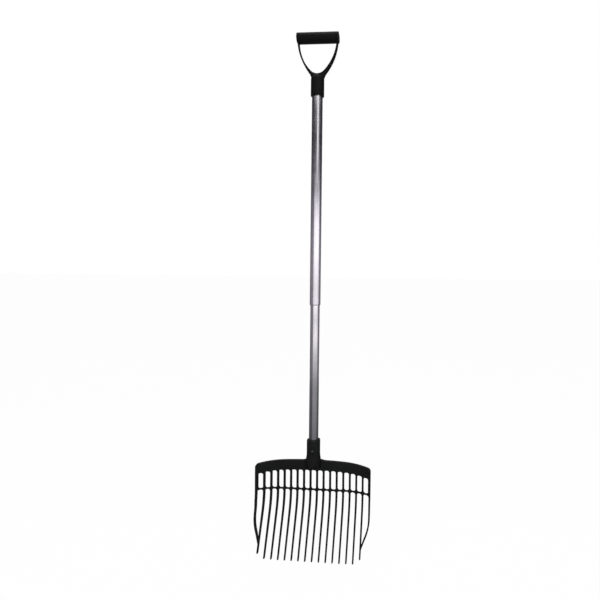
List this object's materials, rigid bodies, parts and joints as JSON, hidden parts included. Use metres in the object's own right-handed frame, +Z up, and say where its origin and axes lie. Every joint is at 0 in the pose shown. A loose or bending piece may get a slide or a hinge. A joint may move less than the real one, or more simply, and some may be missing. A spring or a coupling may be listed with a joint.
{
  "type": "shavings fork",
  "caption": "Long-handled fork with a D grip, telescopic aluminium handle and a wide curled plastic head of thin tines for sifting shavings.",
  "frame": {"origin": "middle of the grip's ferrule, on the handle's axis", "axes": "+Z up the handle towards the hand bar, +X to the right, -Y to the concave front of the head, where the tines lean"},
  "size_m": [0.3242, 0.07, 1.4457],
  "materials": {
    "grip_plastic": "fine-grained black moulding",
    "head_plastic": "satin black polypropylene moulding",
    "tube_aluminium": "clear anodised, drawn along the tube",
    "fastener_steel": "zinc plated",
    "blackened_steel": "black phosphated screw",
    "lock_nylon": "natural nylon"
  },
  "bodies": {
    "handle": {"grip_yoke": "grip_plastic", "grip_bar": "grip_plastic", "grip_rod": "fastener_steel", "grip_cap_left": "grip_plastic", "grip_cap_right": "grip_plastic", "grip_screw": "fastener_steel", "upper_tube": "tube_aluminium"},
    "lock": {"lock_sleeve": "lock_nylon", "lock_cone": "lock_nylon"},
    "fork": {"lower_tube": "tube_aluminium", "lock_plug": "lock_nylon", "lock_stud": "fastener_steel", "lock_clip": "fastener_steel", "head_socket": "head_plastic", "head_screw": "blackened_steel", "head_crossbar": "head_plastic", "crossbar_end_left": "head_plastic", "crossbar_end_right": "head_plastic", "cross_rib": "head_plastic", "side_rail_left": "head_plastic", "side_rail_right": "head_plastic", "tine_01": "head_plastic", "tine_02": "head_plastic", "tine_03": "head_plastic", "tine_04": "head_plastic", "tine_05": "head_plastic", "tine_06": "head_plastic", "tine_07": "head_plastic", "tine_08": "head_plastic", "tine_09": "head_plastic", "tine_10": "head_plastic", "tine_11": "head_plastic", "tine_12": "head_plastic", "tine_13": "head_plastic", "tine_14": "head_plastic", "tine_15": "head_plastic", "tine_16": "head_plastic"}
  },
  "joints": [
    {"name": "telescope", "type": "slide", "parent": "handle", "child": "lock", "axis": [0, 0, 1], "range_m": [0, 0.33]},
    {"name": "twist_lock", "type": "hinge", "parent": "lock", "child": "fork", "pos_m": [0, 0, -0.456], "axis": [0, 0, 1], "range_deg": [0, 90]}
  ]
}
